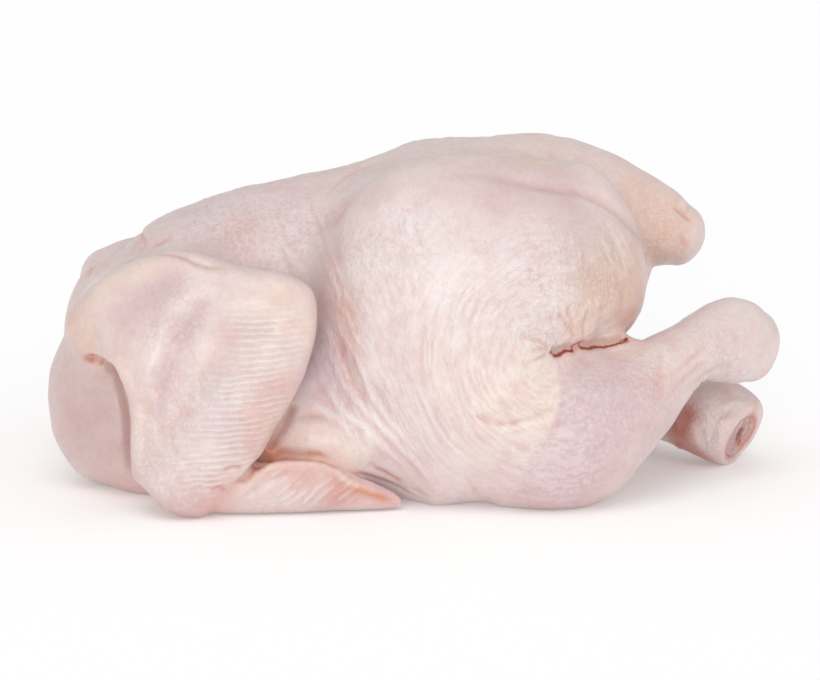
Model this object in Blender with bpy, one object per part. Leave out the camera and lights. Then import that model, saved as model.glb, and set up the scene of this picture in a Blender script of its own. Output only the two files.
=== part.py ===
"""A whole raw chicken, plucked and dressed, lying on its breast with wings folded and shanks crossed.

The bird's head end points to -X and its tail to +X. Its left side faces -Y. The body leans away from -Y, so
the left wing and leg sit higher than the right ones, and the left shank lies over the right one.
One solid is the flesh in its skin. A leg bone shows at the cut end of each shank, and is a solid of its own.
"""

import math

import bmesh
import bpy
import numpy as np
from mathutils import Matrix, Vector

# ------------------------------------------------------------------ driving sizes
MM = 0.001
UNIT = 0.94 * MM            # one unit of the tables, which draw the bird 280 units long
LEAN = math.radians(8)      # how far the bird's back leans towards +Y
CORNERS = 28                # points round each cross-section of the flesh
BONE_CORNERS = 16
STEPS = 5                   # cross-sections between two stations
BODY_FILLET = 9.0           # how round the skin is in the valleys between the large forms, in units
WING_FILLET = 3.0
BODY_VOXEL = 2.8 * MM       # how fine a skin is drawn over the large forms, over a wing, over everything
WING_VOXEL = 1.6 * MM
SKIN_VOXEL = 1.8 * MM
SKIN_TRIANGLES = 7300
SOCKET_GAP = 0.35 * MM      # bone to flesh
FLOOR_REACH = 400 * MM      # half the side of the block that cuts the bird off flat under its breast
CUT_REACH = 12.7 * MM       # half the side of the block that cuts off a shank
CAP_TURNS = np.radians((25, 48, 66, 80))     # where the rings of a round end stand

SKIN_COLOUR = (0.86, 0.72, 0.68, 1.0)
BONE_COLOUR = (0.78, 0.70, 0.70, 1.0)

MIDDLE = Vector((1.9, -0.6, 0))     # the middle of the bird's box, which goes to the origin

# Every table below is in units, with the floor at z = 0.
# Trunk: x, height of the back, height of the belly, half-width, height of the widest level.
TRUNK = [
    (-117, 80, 22, 26, 48),
    (-106, 92, 8, 45, 44),
    (-90, 99, -2, 57, 42),
    (-66, 107, -6, 62, 42),
    (-40, 113, -6, 62, 46),
    (-20, 117.5, -5, 60, 52),
    (0, 125, -2, 57, 58),
    (24, 127, 4, 52, 62),
    (46, 128, 16, 46, 68),
    (60, 126, 32, 40, 74),
    (70, 119, 48, 34, 80),
]
# Lobes and limbs: x, y, z, half-thickness across, half-breadth along.
LEFT_BREAST = [
    (-116, -28, 31, 26, 32), (-98, -35, 32, 31, 36), (-60, -44, 28, 30, 32), (-26, -50, 18, 29, 21),
]
RIGHT_BREAST = [(-117, 24, 30, 22, 25), (-96, 35, 28, 31, 33), (-60, 42, 24, 29, 30), (-22, 44, 18, 26, 21)]
LEFT_FRONT = [(-108, -40, 64, 18, 18), (-112, -36, 48, 24, 20), (-110, -32, 34, 26, 26)]
NECK = [(-122, 8, 60, 22, 12), (-108, 8, 64, 34, 18), (-84, 8, 68, 44, 22)]
LEFT_SHOULDER = [(-110, -38, 64, 16, 20), (-98, -48, 68, 18, 24), (-84, -56, 74, 16, 22)]
RIGHT_SHOULDER = [
    (-122, 40, 64, 12, 14), (-115, 44, 63, 16, 19), (-104, 54, 59, 18, 24), (-84, 62, 57, 16, 22),
]
LEFT_HIP = [(-12, -20, 96, 24, 22), (20, -24, 98, 28, 24), (56, -18, 98, 24, 20)]
RIGHT_HIP = [(-8, 34, 84, 24, 22), (20, 36, 86, 28, 24), (54, 30, 88, 24, 20)]
LEFT_THIGH = [(66, -28, 88, 26, 36), (42, -40, 82, 37, 49), (18, -46, 72, 38, 56), (4, -48, 50, 34, 46)]
RIGHT_THIGH = [(60, 40, 78, 26, 36), (42, 52, 70, 34, 50), (18, 55, 56, 34, 52), (4, 56, 34, 30, 40)]
LEFT_KNEE = [(0, -48, 39, 30, 42), (14, -52, 40, 33, 46), (28, -55, 37, 33, 42), (38, -57, 34, 31, 36)]
RIGHT_KNEE = [(2, 52, 34, 30, 38), (18, 54, 34, 32, 40), (36, 56, 31, 31, 34)]
LEFT_CROTCH = [(66, -46, 57, 9, 9), (78, -46, 53, 8, 8), (87, -47, 48, 8, 8.5)]
TAIL = [
    (58, 10, 104, 28, 22), (70, 10.5, 101, 25, 20.5), (82, 11, 96.5, 22, 18),
    (95, 11.5, 91.5, 17, 16), (104, 12, 88, 12, 12),
]
LEFT_SHANK = [
    (38, -58, 31, 29, 33),
    (60, -58, 29, 28, 31),
    (82, -52, 35.5, 20, 21.5),
    (97, -42, 44, 15, 15.5),
    (107, -33, 50, 13, 13.5),
    (115, -25, 52.5, 14.5, 15),
    (124, -18, 52, 15.5, 16.5),
    (129.5, -14, 50, 13.5, 14.5),
]
RIGHT_SHANK = [
    (38, 57, 30, 28, 30),
    (62, 48, 26, 24, 24),
    (84, 34, 21, 17, 17),
    (98, 20, 20, 14, 14.5),
    (110, 9, 18, 14, 14.5),
    (119, 2, 16.5, 15.5, 16),
    (124, -1.5, 14.5, 14.5, 15.5),
]
# Folded wing: upper arm runs back from the shoulder, forearm down and forward, hand back along the floor.
LEFT_UPPER_ARM = [
    (-111, -50, 60, 16, 20), (-100, -59, 71, 15, 19), (-84, -66, 78, 13, 17.5),
    (-64, -71, 76.5, 11, 15), (-43, -72, 75.5, 10, 14.5),
]
LEFT_FOREARM = [
    (-43, -73, 75.5, 10, 14), (-54, -79, 54, 10, 15), (-62, -82, 41, 10, 15.5),
    (-71, -81, 27, 11, 16), (-84, -78, 13, 14, 17),
]
LEFT_WEB = [
    (-84, -68, 80, 7, 32), (-78, -74, 62, 7, 34), (-78, -77, 46, 7, 27), (-82, -78, 28, 8, 21),
    (-85, -77, 14, 10, 17),
]
LEFT_HAND = [
    (-84, -72, 11, 9, 10), (-70, -77, 10, 8, 10), (-52, -78.5, 10.3, 6, 10.8),
    (-33, -77, 9.7, 5, 10), (-20, -74.5, 6.9, 4, 7), (-10, -72.5, 4.6, 3, 4.5),
    (-4, -71.5, 3.4, 2, 2.8),
]
RIGHT_UPPER_ARM = [
    (-112, 58, 56, 16, 19), (-90, 68, 63, 14, 16), (-64, 74, 64, 12, 14), (-48, 75, 61, 12, 13),
]
RIGHT_FOREARM = [(-50, 76, 60, 11, 14), (-57, 78, 44, 12, 16), (-70, 78, 30, 13, 17), (-86, 75, 17, 14, 16)]
RIGHT_WEB = [(-90, 70, 64, 7, 30), (-86, 73, 47, 7, 28), (-88, 75, 32, 8, 23), (-88, 74, 18, 11, 16)]
RIGHT_HAND = [
    (-84, 74, 13, 11, 13), (-66, 78, 11, 8, 11), (-46, 77, 11, 6, 11), (-26, 74, 10, 5, 10),
    (-10, 71, 6, 3.5, 5),
]
HAND_LEAN = (0, 0.94, 0.34)     # the side direction of the left hand, whose upper edge leans out
# Each shank is cut through at a place, square to the way the cut faces.
LEFT_CUT = ((132.0, -9.0, 48.5), (0.82, 0.50, -0.28))
RIGHT_CUT = ((128.2, -5.0, 11.5), (0.84, -0.34, -0.42))
# Leg bones: distance from the cut end along the shank, radius.
BONE_PROFILE = [(0, 8.4), (6, 8.8), (14, 7.6), (26, 5.0), (48, 4.2), (70, 4.6), (86, 6.5), (96, 7.5)]
BONE_DOME = 0.8             # how far the joint's cartilage bulges out of the cut
# Places to smooth further: x, y, z, reach.
SOFT_SPOTS = [(28, -86, 46, 30), (32, 84, 40, 34), (72, 0, 114, 24)]


# ------------------------------------------------------------------ cross-sections and tubes
def placed(point):
    """A point of the tables in metres, with the middle of the bird's box over the origin."""
    return (Vector(point) - MIDDLE) * UNIT


def between(stations, steps=STEPS):
    """The stations' numbers on a smooth curve through them, with so many rows from one to the next."""
    table = np.array(stations, float)
    ends = [2 * table[0] - table[1]], [2 * table[-1] - table[-2]]
    padded = np.vstack([ends[0], table, ends[1]])
    rows = []
    for i in range(len(table) - 1):
        a, b, c, d = padded[i : i + 4]
        for t in np.arange(steps) / steps:
            bend = (2 * a - 5 * b + 4 * c - d) * t**2 + (3 * b - a - 3 * c + d) * t**3
            rows.append(b + (c - a) * t / 2 + bend / 2)
    return np.array(rows + [table[-1]])


def ring(centre, side, up, half_side, half_up, half_down=None, corners=CORNERS):
    """Points of an oval round a centre. Its lower half can be deeper than its upper half."""
    points = []
    for turn in np.arange(corners) * 2 * math.pi / corners:
        rise = math.sin(turn)
        height = half_up if rise > 0 or half_down is None else half_down
        points.append(centre + side * half_side * math.cos(turn) + up * height * rise)
    return points


def tube(name, rings):
    """A closed skin over a row of rings: neighbours are bridged, and the end rings are filled."""
    build = bmesh.new()
    loops = []
    for points in rings:
        corners = [build.verts.new(placed(point)) for point in points]
        loops.append([build.edges.new((corners[i - 1], corners[i])) for i in range(len(corners))])
    for first, second in zip(loops, loops[1:]):
        bmesh.ops.bridge_loops(build, edges=first + second)
    bmesh.ops.holes_fill(build, edges=loops[0] + loops[-1], sides=len(rings[0]))
    bmesh.ops.recalc_face_normals(build, faces=build.faces)
    mesh = bpy.data.meshes.new(name)
    build.to_mesh(mesh)
    build.free()
    piece = bpy.data.objects.new(name, mesh)
    bpy.context.scene.collection.objects.link(piece)
    return piece


def frames(centres, side):
    """For each centre on a path: its way, the side direction squared to it, and the one square to both."""
    ways = np.gradient(centres, axis=0)
    ways /= np.linalg.norm(ways, axis=1)[:, None]
    sides = side - ways * (ways @ side)[:, None]
    sides /= np.linalg.norm(sides, axis=1)[:, None]
    return ways, sides, np.cross(ways, sides)


def limb(name, stations, grow=0.0, side=(0, 1, 0), round_ends=0.8):
    """A tube along a limb's stations, grown all over. Round ends reach out by a share of its breadth."""
    rows = between(stations)
    centres, across, breadth = rows[:, :3], rows[:, 3], rows[:, 4]
    ways, sides, ups = frames(centres, np.array(side, float))
    rings = [ring(*row) for row in zip(centres, sides, ups, across + grow, breadth + grow)]
    for at, way in ((0, -ways[0]), (-1, ways[-1])):
        reach = round_ends * min(across[at], breadth[at]) + grow
        sizes = across[at] + grow, breadth[at] + grow
        cap = end_cap(centres[at], way * reach, sides[at], ups[at], sizes)
        rings = cap[::-1] + rings if at == 0 else rings + cap
    return tube(name, rings)


def end_cap(centre, reach, side, up, sizes):
    """Rings that round off an end: each shrinks as cos(turn) and moves out by the reach times sin(turn)."""
    cap = []
    for turn in CAP_TURNS:
        smaller = [size * math.cos(turn) for size in sizes]
        cap.append(ring(centre + reach * math.sin(turn), side, up, *smaller))
    return cap


def trunk(name, stations, grow=0.0):
    """The body: ovals across the spine, leaning with the bird, deeper below their widest level than above."""
    side = np.array((0, math.cos(LEAN), -math.sin(LEAN)))
    up = np.array((0, math.sin(LEAN), math.cos(LEAN)))
    rings = []
    rows = between(stations)
    for x, top, bottom, half_width, level in rows:
        sizes = half_width + grow, top - level + grow, level - bottom + grow
        rings.append(ring(np.array((x, 0, 0)) + up * level, side, up, *sizes))
    for at, way in ((0, -1), (-1, 1)):
        x, top, bottom, half_width, level = rows[at]
        reach = np.array((way * (0.7 * half_width + grow), 0, 0))
        sizes = half_width + grow, top - level + grow, level - bottom + grow
        cap = end_cap(np.array((x, 0, 0)) + up * level, reach, side, up, sizes)
        rings = cap[::-1] + rings if at == 0 else rings + cap
    return tube(name, rings)


# ------------------------------------------------------------------ joining the forms into one skin
def evaluated(piece):
    """The piece's mesh with its modifiers applied."""
    bpy.context.view_layer.update()
    return bpy.data.meshes.new_from_object(piece.evaluated_get(bpy.context.evaluated_depsgraph_get()))


def skin_over(name, pieces, voxel, smoothing, fillet=0.0):
    """One closed skin over several overlapping pieces, smoothed. Pieces grown by a fillet are drawn in again
    by as much, so that the skin runs through the valleys between them in a round of that radius."""
    build = bmesh.new()
    for piece in pieces:
        build.from_mesh(piece.data)
        bpy.data.objects.remove(piece)
    mesh = bpy.data.meshes.new(name)
    build.to_mesh(mesh)
    build.free()
    skin = bpy.data.objects.new(name, mesh)
    bpy.context.scene.collection.objects.link(skin)
    remesh = skin.modifiers.new("one skin", "REMESH")
    remesh.mode = "VOXEL"
    remesh.voxel_size = voxel
    smooth = skin.modifiers.new("soft valleys", "SMOOTH")
    smooth.factor = 0.5
    smooth.iterations = smoothing
    if fillet:
        draw_in = skin.modifiers.new("drawn in", "DISPLACE")
        draw_in.direction = "NORMAL"
        draw_in.mid_level = 0
        draw_in.strength = -fillet * UNIT
        settle = skin.modifiers.new("settled", "SMOOTH")
        settle.factor = 0.5
        settle.iterations = 3
    skin.data = evaluated(skin)
    skin.modifiers.clear()
    return skin


def soften_near(skin, spots, iterations):
    """Smooths the skin only round the given spots: each is x, y, z and reach."""
    points = np.empty(len(skin.data.vertices) * 3)
    skin.data.vertices.foreach_get("co", points)
    points = points.reshape(-1, 3) / UNIT + MIDDLE
    near = np.zeros(len(points))
    for x, y, z, reach in spots:
        distance = np.linalg.norm(points - (x, y, z), axis=1)
        near = np.maximum(near, np.clip(1.5 - 1.5 * distance / reach, 0, 1))
    group = skin.vertex_groups.new(name="soft spots")
    for index in np.flatnonzero(near):
        group.add([int(index)], float(near[index]), "REPLACE")
    smooth = skin.modifiers.new("soft spots", "SMOOTH")
    smooth.factor = 0.5
    smooth.iterations = iterations
    smooth.vertex_group = group.name
    skin.data = evaluated(skin)
    skin.modifiers.clear()
    skin.vertex_groups.clear()


def material(name, colour, roughness):
    """A plain finish of one colour."""
    finish = bpy.data.materials.new(name)
    finish.use_nodes = True
    shader = finish.node_tree.nodes["Principled BSDF"]
    shader.inputs["Base Color"].default_value = colour
    shader.inputs["Roughness"].default_value = roughness
    return finish


def cut(skin, cutter):
    """Takes the cutter's shape out of the skin, and keeps the cutter as a wire helper."""
    cutter.hide_render = True
    cutter.display_type = "WIRE"
    boolean = skin.modifiers.new(cutter.name, "BOOLEAN")
    boolean.operation = "DIFFERENCE"
    boolean.solver = "EXACT"
    boolean.object = cutter


def block(name, centre, way, half):
    """A square block whose near face stands at the centre point, square to the way it reaches."""
    build = bmesh.new()
    bmesh.ops.create_cube(build, size=2 * half)
    bmesh.ops.translate(build, verts=build.verts, vec=(0, 0, half))
    mesh = bpy.data.meshes.new(name)
    build.to_mesh(mesh)
    build.free()
    piece = bpy.data.objects.new(name, mesh)
    turn = Vector(way).to_track_quat("Z", "Y").to_matrix().to_4x4()
    piece.matrix_world = Matrix.Translation(centre) @ turn
    bpy.context.scene.collection.objects.link(piece)
    return piece


# ------------------------------------------------------------------ the bird's pieces
def body_skin():
    """Trunk, breast, shoulders, hips and thighs, which run into each other under one smooth skin."""
    forms = {
        "left breast": LEFT_BREAST,
        "right breast": RIGHT_BREAST,
        "left front": LEFT_FRONT,
        "neck": NECK,
        "left shoulder": LEFT_SHOULDER,
        "right shoulder": RIGHT_SHOULDER,
        "left hip": LEFT_HIP,
        "right hip": RIGHT_HIP,
        "left thigh": LEFT_THIGH,
        "right thigh": RIGHT_THIGH,
        "left knee": LEFT_KNEE,
        "right knee": RIGHT_KNEE,
    }
    pieces = [trunk("trunk", TRUNK, BODY_FILLET)]
    pieces += [limb(name, stations, BODY_FILLET) for name, stations in forms.items()]
    return skin_over("body", pieces, BODY_VOXEL, 8, BODY_FILLET)


def folded_wing(side, upper_arm, forearm, web):
    """Upper arm and forearm, and the web of skin between them."""
    forms = {"upper arm": upper_arm, "forearm": forearm, "web": web}
    pieces = [limb(f"{side} {name}", stations, WING_FILLET) for name, stations in forms.items()]
    return skin_over(f"{side} wing", pieces, WING_VOXEL, 5, WING_FILLET)


def round_ring(centre, side, up, radius):
    """Points of a circle round a bone's centre line."""
    return ring(centre, side, up, radius, radius, corners=BONE_CORNERS)


def leg_bone(name, shank, shank_cut, grow, past_cut):
    """A leg bone on its shank's line, from the joint at the cut. Grown and past the cut, it is the socket."""
    end, way = np.array(shank_cut[0]), np.array(shank_cut[1])
    way /= np.linalg.norm(way)
    line = between(shank, 12)[:, :3][::-1]
    behind = (end - line) @ way > 4
    line = np.vstack([[end], line[behind]])
    walked = np.concatenate([[0], np.cumsum(np.linalg.norm(np.diff(line, axis=0), axis=1))])
    profile = between(BONE_PROFILE, 2)
    centres = np.array([[np.interp(at, walked, line[:, axis]) for axis in range(3)] for at in profile[:, 0]])
    ways, sides, ups = frames(centres, np.array((0.0, 1.0, 0.0)))
    radii = profile[:, 1] + grow
    rings = [round_ring(*row) for row in zip(centres, sides, ups, radii)]
    if past_cut:
        rings.insert(0, round_ring(end + way * past_cut, sides[0], ups[0], radii[0]))
    else:
        for share, reach in ((0.8, 0.6), (0.4, 1.0)):
            rings.insert(0, round_ring(end + way * BONE_DOME * reach, sides[0], ups[0], radii[0] * share))
    rings.append(round_ring(centres[-1] + ways[-1] * 3, sides[-1], ups[-1], radii[-1] * 0.6))
    return tube(name, rings)


def main():
    for old in list(bpy.data.objects):
        bpy.data.objects.remove(old)
    pieces = [body_skin()]
    pieces.append(folded_wing("left", LEFT_UPPER_ARM, LEFT_FOREARM, LEFT_WEB))
    pieces.append(folded_wing("right", RIGHT_UPPER_ARM, RIGHT_FOREARM, RIGHT_WEB))
    pieces += [limb("left hand", LEFT_HAND, side=HAND_LEAN), limb("right hand", RIGHT_HAND)]
    pieces += [limb("left shank", LEFT_SHANK), limb("right shank", RIGHT_SHANK)]
    pieces += [limb("left crotch", LEFT_CROTCH), limb("tail", TAIL)]
    chicken = skin_over("chicken", pieces, SKIN_VOXEL, 3)
    soften_near(chicken, SOFT_SPOTS, 30)
    thin = chicken.modifiers.new("fewer faces", "DECIMATE")
    thin.ratio = SKIN_TRIANGLES / sum(len(face.vertices) - 2 for face in chicken.data.polygons)
    chicken.data = evaluated(chicken)
    chicken.modifiers.clear()
    chicken.data.materials.append(material("skin", SKIN_COLOUR, 0.45))
    chicken.data.shade_smooth()

    cut(chicken, block("floor", (0, 0, 0), (0, 0, -1), FLOOR_REACH))
    bone_finish = material("bone", BONE_COLOUR, 0.4)
    for side, shank, shank_cut in (("left", LEFT_SHANK, LEFT_CUT), ("right", RIGHT_SHANK, RIGHT_CUT)):
        end, way = shank_cut
        cut(chicken, block(f"{side} cut", placed(end), way, CUT_REACH))
        cut(chicken, leg_bone(f"{side} bone socket", shank, shank_cut, SOCKET_GAP / UNIT, 8))
        bone = leg_bone(f"{side}_leg_bone", shank, shank_cut, 0, 0)
        bone.data.materials.append(bone_finish)
        bone.data.shade_smooth()


if __name__ == "__main__":
    main()
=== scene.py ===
"""A whole raw chicken, plucked and dressed, lying on its breast on a white table."""

import itertools
import math

import bpy
import numpy as np
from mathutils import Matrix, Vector
from mathutils.bvhtree import BVHTree


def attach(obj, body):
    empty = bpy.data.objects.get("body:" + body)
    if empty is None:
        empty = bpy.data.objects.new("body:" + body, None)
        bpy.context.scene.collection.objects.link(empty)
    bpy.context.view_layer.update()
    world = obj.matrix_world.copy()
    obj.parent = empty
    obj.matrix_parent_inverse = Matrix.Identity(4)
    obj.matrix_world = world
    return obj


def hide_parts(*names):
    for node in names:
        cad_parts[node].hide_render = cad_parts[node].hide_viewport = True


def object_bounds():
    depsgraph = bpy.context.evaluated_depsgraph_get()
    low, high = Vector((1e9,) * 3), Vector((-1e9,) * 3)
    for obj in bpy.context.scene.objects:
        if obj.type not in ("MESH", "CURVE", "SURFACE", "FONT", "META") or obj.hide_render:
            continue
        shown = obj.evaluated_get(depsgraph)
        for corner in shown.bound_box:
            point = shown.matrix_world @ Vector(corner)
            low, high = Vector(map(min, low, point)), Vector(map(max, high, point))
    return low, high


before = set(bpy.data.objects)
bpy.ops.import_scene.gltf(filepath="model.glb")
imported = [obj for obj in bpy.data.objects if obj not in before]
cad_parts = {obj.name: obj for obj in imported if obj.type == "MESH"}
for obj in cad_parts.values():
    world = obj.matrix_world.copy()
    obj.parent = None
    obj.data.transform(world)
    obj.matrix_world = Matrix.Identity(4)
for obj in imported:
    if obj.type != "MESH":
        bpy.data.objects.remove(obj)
CAD_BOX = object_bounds()
scene = bpy.context.scene

# ---------------------------------------------------------------- camera
# A long lens looks at the bird's left side from a little above the table. It stands far off, so that the near
# wing is drawn hardly larger than the back.
CAMERA_DISTANCE = 1.222
CAMERA_RISE = math.radians(12)
CAMERA_AIM = Vector((-0.0018, 0.0005, 0.0459))
CAMERA_VIEW_WIDTH = 0.2968      # how much of the scene the picture's width takes in at the bird

camera_data = bpy.data.cameras.new("camera")
camera_data.sensor_width = 36
camera_data.lens = camera_data.sensor_width * CAMERA_DISTANCE / CAMERA_VIEW_WIDTH
camera = bpy.data.objects.new("camera", camera_data)
scene.collection.objects.link(camera)
back_off = Vector((0, -math.cos(CAMERA_RISE), math.sin(CAMERA_RISE)))
camera.location = CAMERA_AIM + back_off * CAMERA_DISTANCE
camera.rotation_euler = (-back_off).to_track_quat("-Z", "Y").to_euler()
scene.camera = camera

# ------------------------------------------------------ the bird's flesh
# A dressed broiler, cut off at the neck and the hocks. Breast, back and thighs run into each other under one
# skin, and wings, shanks and tail stand out from it. Tables are in units, with the bird drawn 280 units long,
# the floor at z = 0, the head end at -X, the tail at +X and the left side at -Y.
UNIT = 0.94e-3
MIDDLE = np.array((1.9, -0.6, 0.0))
LEAN = math.radians(8)          # how far the back leans towards +Y
CORNERS = 48
STEPS = 8
SOFT_VOXEL = 2.8e-3
WING_VOXEL = 1.4e-3
SKIN_VOXEL = 0.8e-3

# Trunk: x, height of the back, height of the belly, half-width, height of the widest level.
TRUNK = [
    (-117, 80, 22, 26, 48),
    (-106, 92, 8, 45, 44),
    (-90, 99, -2, 57, 42),
    (-66, 107, -6, 62, 42),
    (-40, 113, -6, 62, 46),
    (-20, 117.5, -5, 60, 52),
    (0, 125, -2, 57, 58),
    (24, 127, 4, 52, 62),
    (46, 128, 16, 46, 68),
    (60, 126, 32, 40, 74),
    (70, 119, 48, 34, 80),
]
# Lobes and limbs: x, y, z, half-thickness across, half-breadth along.
LEFT_BREAST = [
    (-116, -28, 31, 26, 32), (-98, -35, 32, 31, 36), (-60, -44, 28, 30, 32), (-26, -50, 18, 29, 21),
]
RIGHT_BREAST = [(-117, 24, 30, 22, 25), (-96, 35, 28, 31, 33), (-60, 42, 24, 29, 30), (-22, 44, 18, 26, 21)]
LEFT_FRONT = [(-108, -40, 64, 18, 18), (-112, -36, 48, 24, 20), (-110, -32, 34, 26, 26)]
NECK = [(-122, 8, 60, 22, 12), (-108, 8, 64, 34, 18), (-84, 8, 68, 44, 22)]
LEFT_SHOULDER = [(-110, -38, 64, 16, 20), (-98, -48, 68, 18, 24), (-84, -56, 74, 16, 22)]
RIGHT_SHOULDER = [
    (-122, 40, 64, 12, 14), (-115, 44, 63, 16, 19), (-104, 54, 59, 18, 24), (-84, 62, 57, 16, 22),
]
LEFT_HIP = [(-12, -20, 96, 24, 22), (20, -24, 98, 28, 24), (56, -18, 98, 24, 20)]
RIGHT_HIP = [(-8, 34, 84, 24, 22), (20, 36, 86, 28, 24), (54, 30, 88, 24, 20)]
LEFT_THIGH = [(66, -28, 88, 26, 36), (42, -40, 82, 37, 49), (18, -46, 72, 38, 56), (4, -48, 50, 34, 46)]
RIGHT_THIGH = [(60, 40, 78, 26, 36), (42, 52, 70, 34, 50), (18, 55, 56, 34, 52), (4, 56, 34, 30, 40)]
LEFT_KNEE = [(0, -48, 39, 30, 42), (14, -52, 40, 33, 46), (28, -55, 37, 33, 42), (38, -57, 34, 31, 36)]
RIGHT_KNEE = [(2, 52, 34, 30, 38), (18, 54, 34, 32, 40), (36, 56, 31, 31, 34)]
TAIL = [
    (58, 10, 104, 28, 22), (70, 10.5, 101, 25, 20.5), (82, 11, 96.5, 22, 18), (95, 11.5, 91.5, 17, 16),
    (104, 12, 88, 12, 12),
]
LEFT_SHANK = [
    (38, -58, 31, 29, 33),
    (60, -58, 29, 28, 31),
    (82, -52, 38, 20, 19.5),
    (97, -42, 47.8, 14.5, 13.4),
    (107, -33, 52.6, 13, 12.2),
    (115, -25, 52.8, 14.5, 14.6),
    (124, -18, 52, 15.5, 16.5),
    (129.5, -14, 50, 13.5, 14.5),
]
RIGHT_SHANK = [
    (38, 57, 30, 28, 30),
    (62, 48, 26, 24, 24),
    (84, 34, 21, 17, 17),
    (98, 20, 20, 14, 14.5),
    (110, 9, 18, 14, 14.5),
    (119, 2, 16.5, 15.5, 16),
    (124, -1.5, 14.5, 14.5, 15.5),
]
# Folded wing: upper arm runs back from the shoulder, forearm down and forward, hand back along the floor.
LEFT_UPPER_ARM = [
    (-111, -50, 60, 16, 20), (-100, -59, 71, 15, 19), (-84, -66, 78, 13, 17.5), (-64, -71, 76.5, 11, 15),
    (-48, -72, 75.5, 10, 14), (-39.5, -72, 75, 9.5, 11.5),
]
LEFT_FOREARM = [
    (-43, -73, 76, 10, 11.5), (-47, -76, 66, 10, 13.5), (-53.5, -79, 54, 10, 15), (-62, -82, 41, 10, 15.5),
    (-71, -81, 27, 11, 16), (-84, -78, 13, 14, 17),
]
LEFT_WEB = [
    (-84, -68, 80, 7, 32), (-78, -74, 62, 7, 34), (-78, -77, 46, 7, 27), (-82, -78, 28, 8, 21),
    (-85, -77, 14, 10, 17),
]
LEFT_HAND = [
    (-84, -72, 11, 9, 10), (-70, -77, 10, 8, 10), (-52, -78.5, 10.3, 6, 10.8), (-33, -77, 9.7, 5, 10),
    (-20, -74.5, 6.9, 4, 7), (-10, -72.5, 4.6, 3, 4.5), (-4, -71.5, 3.4, 2, 2.8),
]
LEFT_CROTCH = [(66, -46, 57, 9, 9), (78, -46, 53, 8, 8), (87, -47, 48, 8, 8.5)]
HAND_LEAN = (0, 0.94, 0.34)     # the side direction of the left hand, whose upper edge leans out
RIGHT_UPPER_ARM = [
    (-112, 58, 56, 16, 19), (-90, 68, 63, 14, 16), (-64, 74, 64, 12, 14), (-48, 75, 61, 12, 13),
]
RIGHT_FOREARM = [(-50, 76, 60, 11, 14), (-57, 78, 44, 12, 16), (-70, 78, 30, 13, 17), (-86, 75, 17, 14, 16)]
RIGHT_WEB = [(-90, 70, 64, 7, 30), (-86, 73, 47, 7, 28), (-88, 75, 32, 8, 23), (-88, 74, 18, 11, 16)]
RIGHT_HAND = [
    (-84, 74, 13, 11, 13), (-66, 78, 11, 8, 11), (-46, 77, 11, 6, 11), (-26, 74, 10, 5, 10),
    (-10, 71, 6, 3.5, 5),
]
CAP_TURNS = np.radians((20, 38, 54, 68, 80))


def between(stations, steps=STEPS):
    """Rows on a smooth curve through the stations, which from b to c is
    b + (c-a)t/2 + (2a-5b+4c-d)t²/2 + (3b-a-3c+d)t³/2."""
    table = np.array(stations, float)
    padded = np.vstack([2 * table[0] - table[1], table, 2 * table[-1] - table[-2]])
    rows = []
    for a, b, c, d in zip(padded, padded[1:], padded[2:], padded[3:]):
        t = (np.arange(steps) / steps)[:, None]
        bend = (2 * a - 5 * b + 4 * c - d) * t**2 + (3 * b - a - 3 * c + d) * t**3
        rows.append(b + (c - a) * t / 2 + bend / 2)
    return np.vstack([*rows, table[-1:]])


def oval_rows(centres, sides, ups, across, above, below):
    """Grid of points, a row for each centre: centre + side * across * cos(turn) + up * (above or below) *
    sin(turn)."""
    turns = np.arange(CORNERS) * 2 * math.pi / CORNERS
    rise = np.where(np.sin(turns) > 0, above[:, None], below[:, None]) * np.sin(turns)
    spread = across[:, None] * np.cos(turns)
    return centres[:, None] + sides[:, None] * spread[..., None] + ups[:, None] * rise[..., None]


def closed_shell(rows):
    """Points and faces of a tube through the grid's rows, with a fan at each end."""
    count, corners = rows.shape[:2]
    points = np.vstack([rows.reshape(-1, 3), rows[0].mean(0), rows[-1].mean(0)])
    row, corner = np.meshgrid(np.arange(count - 1), np.arange(corners), indexing="ij")
    after = (corner + 1) % corners
    here, there = row * corners, (row + 1) * corners
    faces = np.stack([here + corner, here + after, there + after, there + corner], -1)
    faces = faces.reshape(-1, 4).tolist()
    last = (count - 1) * corners
    faces += [(i, count * corners, (i + 1) % corners) for i in range(corners)]
    faces += [(last + i, last + (i + 1) % corners, count * corners + 1) for i in range(corners)]
    return points, faces


def capped(centres, sides, ups, ways, across, above, below, reach):
    """A tube with rounded ends, past which the ring shrinks as cos(turn) and moves on by reach * sin(turn)."""
    shrink, go = np.cos(CAP_TURNS), np.sin(CAP_TURNS)[:, None]
    parts = []
    for end, sign in ((0, -1), (-1, 1)):
        there = centres[end] + sign * ways[end] * reach[end] * go
        same = np.ones((len(CAP_TURNS), 1))
        cap = [there, same * sides[end], same * ups[end]]
        cap += [size[end] * shrink for size in (across, above, below)]
        parts.append([part[::-1] for part in cap] if end == 0 else cap)
    middle = [centres, sides, ups, across, above, below]
    return closed_shell(oval_rows(*[np.concatenate(trio) for trio in zip(parts[0], middle, parts[1])]))


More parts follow.
